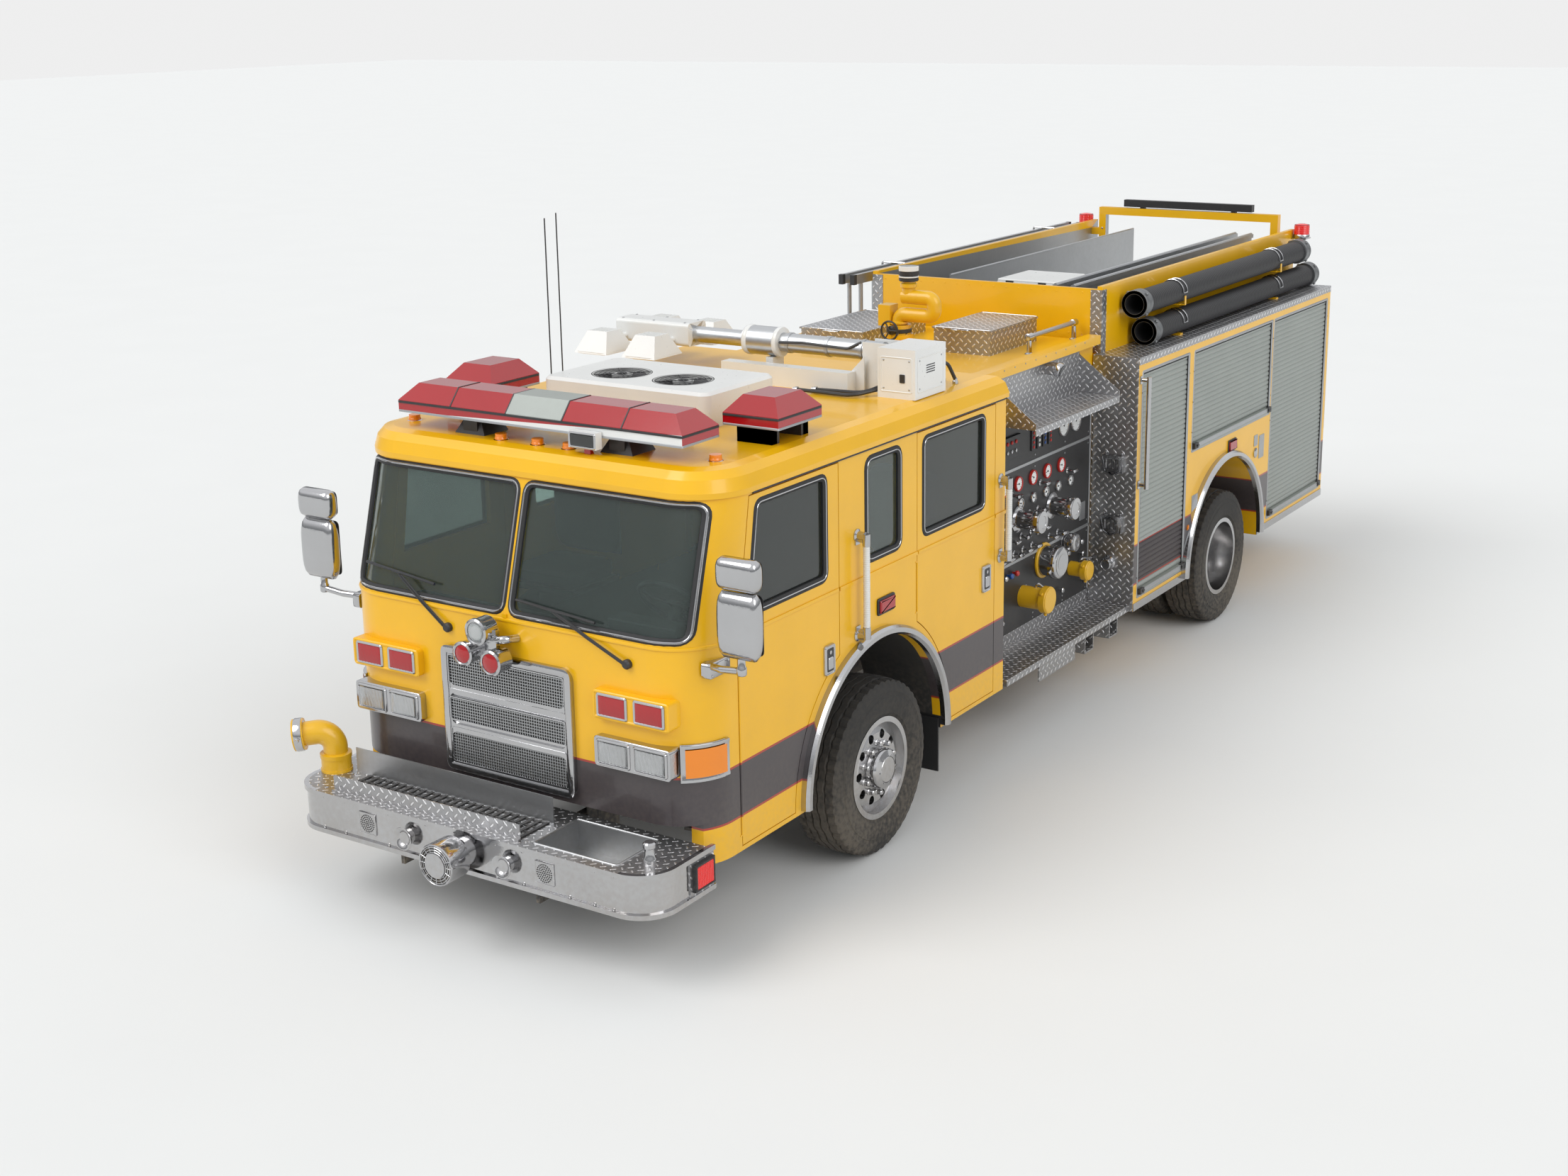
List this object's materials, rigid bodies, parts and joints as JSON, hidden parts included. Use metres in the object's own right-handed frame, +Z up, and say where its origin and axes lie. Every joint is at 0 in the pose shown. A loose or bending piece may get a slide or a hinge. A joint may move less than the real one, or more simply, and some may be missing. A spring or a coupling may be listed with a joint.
{
  "type": "pumper fire truck",
  "caption": "Fire-service pumper lorry: tilting four-door cab, pump house with deck gun, hose bed, roller-shutter lockers, roof light tower and steered front wheels.",
  "frame": {"origin": "on the ground under the middle of the truck", "axes": "+X to the driver's side, the truck faces -Y, +Z up"},
  "size_m": [3.11, 10.18, 3.6],
  "materials": {
    "body_paint": "gloss",
    "chassis_paint": "satin",
    "cab_liner": "satin",
    "polished_metal": "polished",
    "tread_plate": "embossed",
    "wheel_alloy": "polished",
    "tyre_rubber": "matt",
    "window_glass": "clear",
    "seat_cloth": "woven",
    "red_lens": "gloss",
    "white_housing": "gloss",
    "black_housing": "matt",
    "mast_metal": "brushed",
    "panel_black": "satin",
    "shutter_slats": "satin",
    "hose_cover": "ribbed",
    "ladder_metal": "brushed"
  },
  "bodies": {
    "chassis": {"frame_rails": "chassis_paint", "front_axle": "chassis_paint", "leaf_springs": "chassis_paint", "rear_axle": "chassis_paint", "drive_line": "chassis_paint", "tank_and_exhaust": "chassis_paint", "front_bumper": "polished_metal", "bumper_deck": "tread_plate", "bumper_fittings": "polished_metal", "pump_house": "body_paint", "treads": "tread_plate", "pump_panels": "panel_black", "body_shell": "body_paint", "roller_shutters": "shutter_slats", "hose_bed": "body_paint", "hose_bed_dividers": "ladder_metal", "rear_lights": "black_housing", "suction_hoses": "hose_cover", "ladders": "ladder_metal", "body_trim": "polished_metal", "pump_top": "tread_plate"},
    "cab": {"cab_shell": "body_paint", "cab_floor": "cab_liner", "cab_roof": "body_paint", "cab_glass": "window_glass", "grille": "polished_metal", "nose_lamps": "red_lens", "mirrors": "polished_metal", "cab_trim": "polished_metal", "cab_interior": "seat_cloth", "roof_lights": "red_lens", "air_conditioner": "white_housing", "tower_base": "white_housing"},
    "mast_outer": {"tower_mast": "mast_metal"},
    "mast_inner": {"tower_head": "white_housing"},
    "gun_swivel": {"gun_swivel": "body_paint"},
    "gun_barrel": {"gun_barrel": "black_housing"},
    "chest_lid": {"chest_lid": "tread_plate"},
    "deck_cover_lid": {"deck_cover_lid": "tread_plate"},
    "track_rod": {"track_rod": "chassis_paint"},
    "knuckle_left": {"knuckle_left": "chassis_paint"},
    "front_wheel_left": {"front_wheel_left": "wheel_alloy", "front_tyre_left": "tyre_rubber"},
    "rear_wheels_left": {"rear_wheels_left": "wheel_alloy", "rear_tyres_left": "tyre_rubber"},
    "front_door_left": {"front_door_left": "body_paint", "front_door_glass_left": "window_glass"},
    "rear_door_left": {"rear_door_left": "body_paint", "rear_door_glass_left": "window_glass"},
    "knuckle_right": {"knuckle_right": "chassis_paint"},
    "front_wheel_right": {"front_wheel_right": "wheel_alloy", "front_tyre_right": "tyre_rubber"},
    "rear_wheels_right": {"rear_wheels_right": "wheel_alloy", "rear_tyres_right": "tyre_rubber"},
    "front_door_right": {"front_door_right": "body_paint", "front_door_glass_right": "window_glass"},
    "rear_door_right": {"rear_door_right": "body_paint", "rear_door_glass_right": "window_glass"}
  },
  "joints": [
    {"name": "cab_tilt", "type": "hinge", "parent": "chassis", "child": "cab", "pos_m": [0, -4.33, 0.805], "axis": [1, 0, 0], "range_deg": [0, 45]},
    {"name": "front_door_left_hinge", "type": "hinge", "parent": "cab", "child": "front_door_left", "pos_m": [1.218, -4.073, 1.5], "axis": [0, 0, -1], "range_deg": [0, 70]},
    {"name": "rear_door_left_hinge", "type": "hinge", "parent": "cab", "child": "rear_door_left", "pos_m": [1.218, -2.246, 1.5], "axis": [0, 0, -1], "range_deg": [0, 70]},
    {"name": "steer_left", "type": "hinge", "parent": "chassis", "child": "knuckle_left", "pos_m": [0.925, -2.71, 0.52], "axis": [0, 0, 1], "range_deg": [-40, 40]},
    {"name": "front_wheel_left_spin", "type": "hinge", "parent": "knuckle_left", "child": "front_wheel_left", "pos_m": [1.1, -2.71, 0.52], "axis": [1, 0, 0], "continuous": true},
    {"name": "rear_wheels_left_spin", "type": "hinge", "parent": "chassis", "child": "rear_wheels_left", "pos_m": [0.93, 2.49, 0.52], "axis": [1, 0, 0], "continuous": true},
    {"name": "front_door_right_hinge", "type": "hinge", "parent": "cab", "child": "front_door_right", "pos_m": [-1.218, -4.073, 1.5], "axis": [0, 0, 1], "range_deg": [0, 70]},
    {"name": "rear_door_right_hinge", "type": "hinge", "parent": "cab", "child": "rear_door_right", "pos_m": [-1.218, -2.246, 1.5], "axis": [0, 0, 1], "range_deg": [0, 70]},
    {"name": "steer_right", "type": "hinge", "parent": "chassis", "child": "knuckle_right", "pos_m": [-0.925, -2.71, 0.52], "axis": [0, 0, 1], "range_deg": [-40, 40]},
    {"name": "front_wheel_right_spin", "type": "hinge", "parent": "knuckle_right", "child": "front_wheel_right", "pos_m": [-1.1, -2.71, 0.52], "axis": [1, 0, 0], "continuous": true},
    {"name": "rear_wheels_right_spin", "type": "hinge", "parent": "chassis", "child": "rear_wheels_right", "pos_m": [-0.93, 2.49, 0.52], "axis": [1, 0, 0], "continuous": true},
    {"name": "track_rod_ball", "type": "hinge", "parent": "knuckle_left", "child": "track_rod", "pos_m": [0.925, -2.53, 0.398], "axis": [0, 0, 1], "range_deg": [-40, 40]},
    {"name": "mast_raise", "type": "hinge", "parent": "cab", "child": "mast_outer", "pos_m": [0.79, -1.96, 2.79], "axis": [0, 1, 0], "range_deg": [0, 90]},
    {"name": "mast_extend", "type": "slide", "parent": "mast_outer", "child": "mast_inner", "axis": [-1, 0, 0], "range_m": [0, 0.6]},
    {"name": "gun_turn", "type": "hinge", "parent": "chassis", "child": "gun_swivel", "pos_m": [0.06, -0.46, 2.65], "axis": [0, 0, 1], "continuous": true},
    {"name": "gun_raise", "type": "hinge", "parent": "gun_swivel", "child": "gun_barrel", "pos_m": [0.135, -0.46, 2.87], "axis": [1, 0, 0], "range_deg": [0, 90]},
    {"name": "chest_lid_hinge", "type": "hinge", "parent": "chassis", "child": "chest_lid", "pos_m": [0.345, 0.605, 2.616], "axis": [-1, 0, 0], "range_deg": [0, 100]},
    {"name": "deck_cover_hinge", "type": "hinge", "parent": "chassis", "child": "deck_cover_lid", "pos_m": [-0.58, 0.605, 2.566], "axis": [-1, 0, 0], "range_deg": [0, 100]}
  ],
  "couplings": [
    {"joint": "steer_right", "follows": "steer_left", "ratio": 1},
    {"joint": "track_rod_ball", "follows": "steer_left", "ratio": -1}
  ]
}
